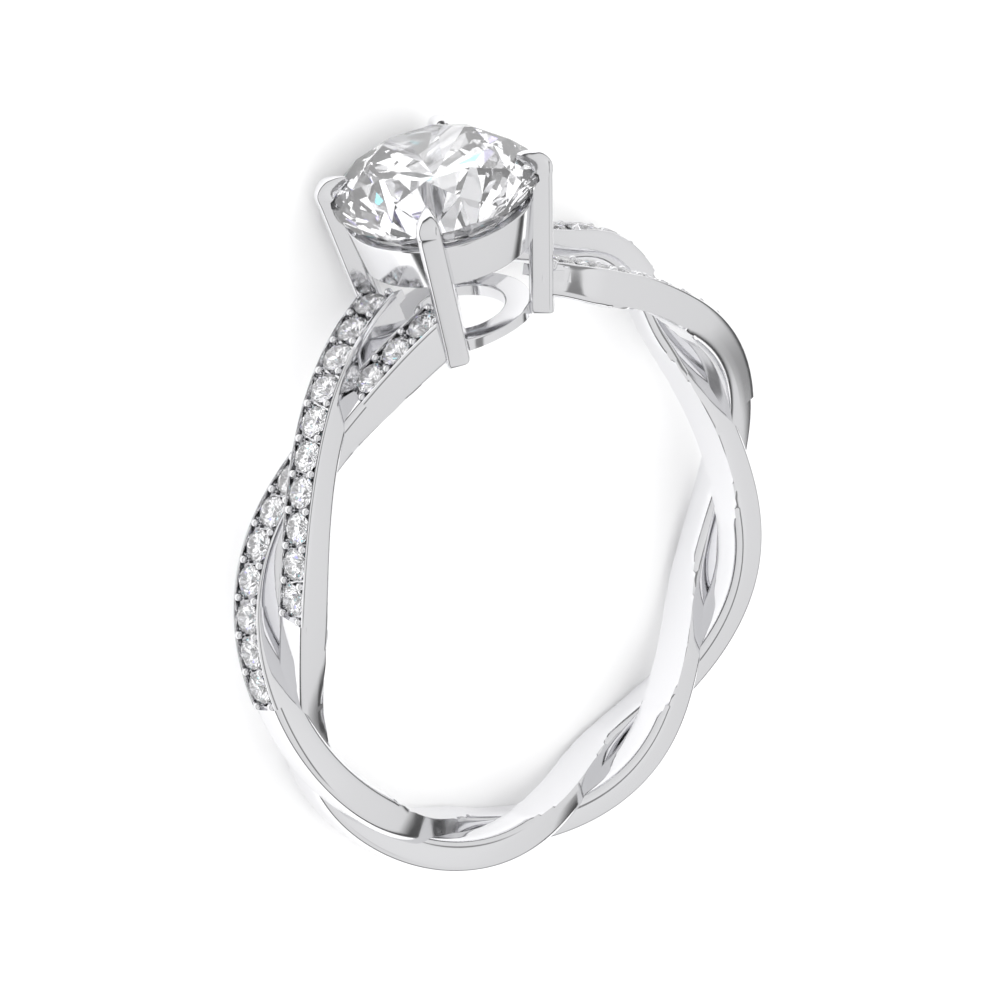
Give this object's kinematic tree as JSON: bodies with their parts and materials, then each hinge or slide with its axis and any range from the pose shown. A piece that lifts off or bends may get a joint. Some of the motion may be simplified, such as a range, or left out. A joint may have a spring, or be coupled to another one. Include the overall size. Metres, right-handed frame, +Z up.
{
  "type": "twisted shank solitaire ring",
  "caption": "Ring with two strands wound round each other, small round stones along the shoulders and a round brilliant in a claw basket.",
  "frame": {"origin": "centre of the finger bore", "axes": "+Z up as the ring lies on its side, +Y towards the setting, +X towards the shoulder on the right in the picture; the finger bore leans five degrees from +Z because the ring rests on the stone's girdle and on two places of the shank's far edge"},
  "size_m": [0.0209, 0.0248, 0.0065],
  "materials": {
    "white_gold": "polished white gold with a rhodium plate",
    "centre_diamond": "cut and polished colourless diamond",
    "small_diamonds": "cut and polished colourless diamond"
  },
  "bodies": {
    "root": {"ring_metal": "white_gold", "centre_stone": "centre_diamond", "pave_left_back": "small_diamonds", "pave_left_front": "small_diamonds", "pave_right_back": "small_diamonds", "pave_right_front": "small_diamonds"}
  },
  "joints": []
}
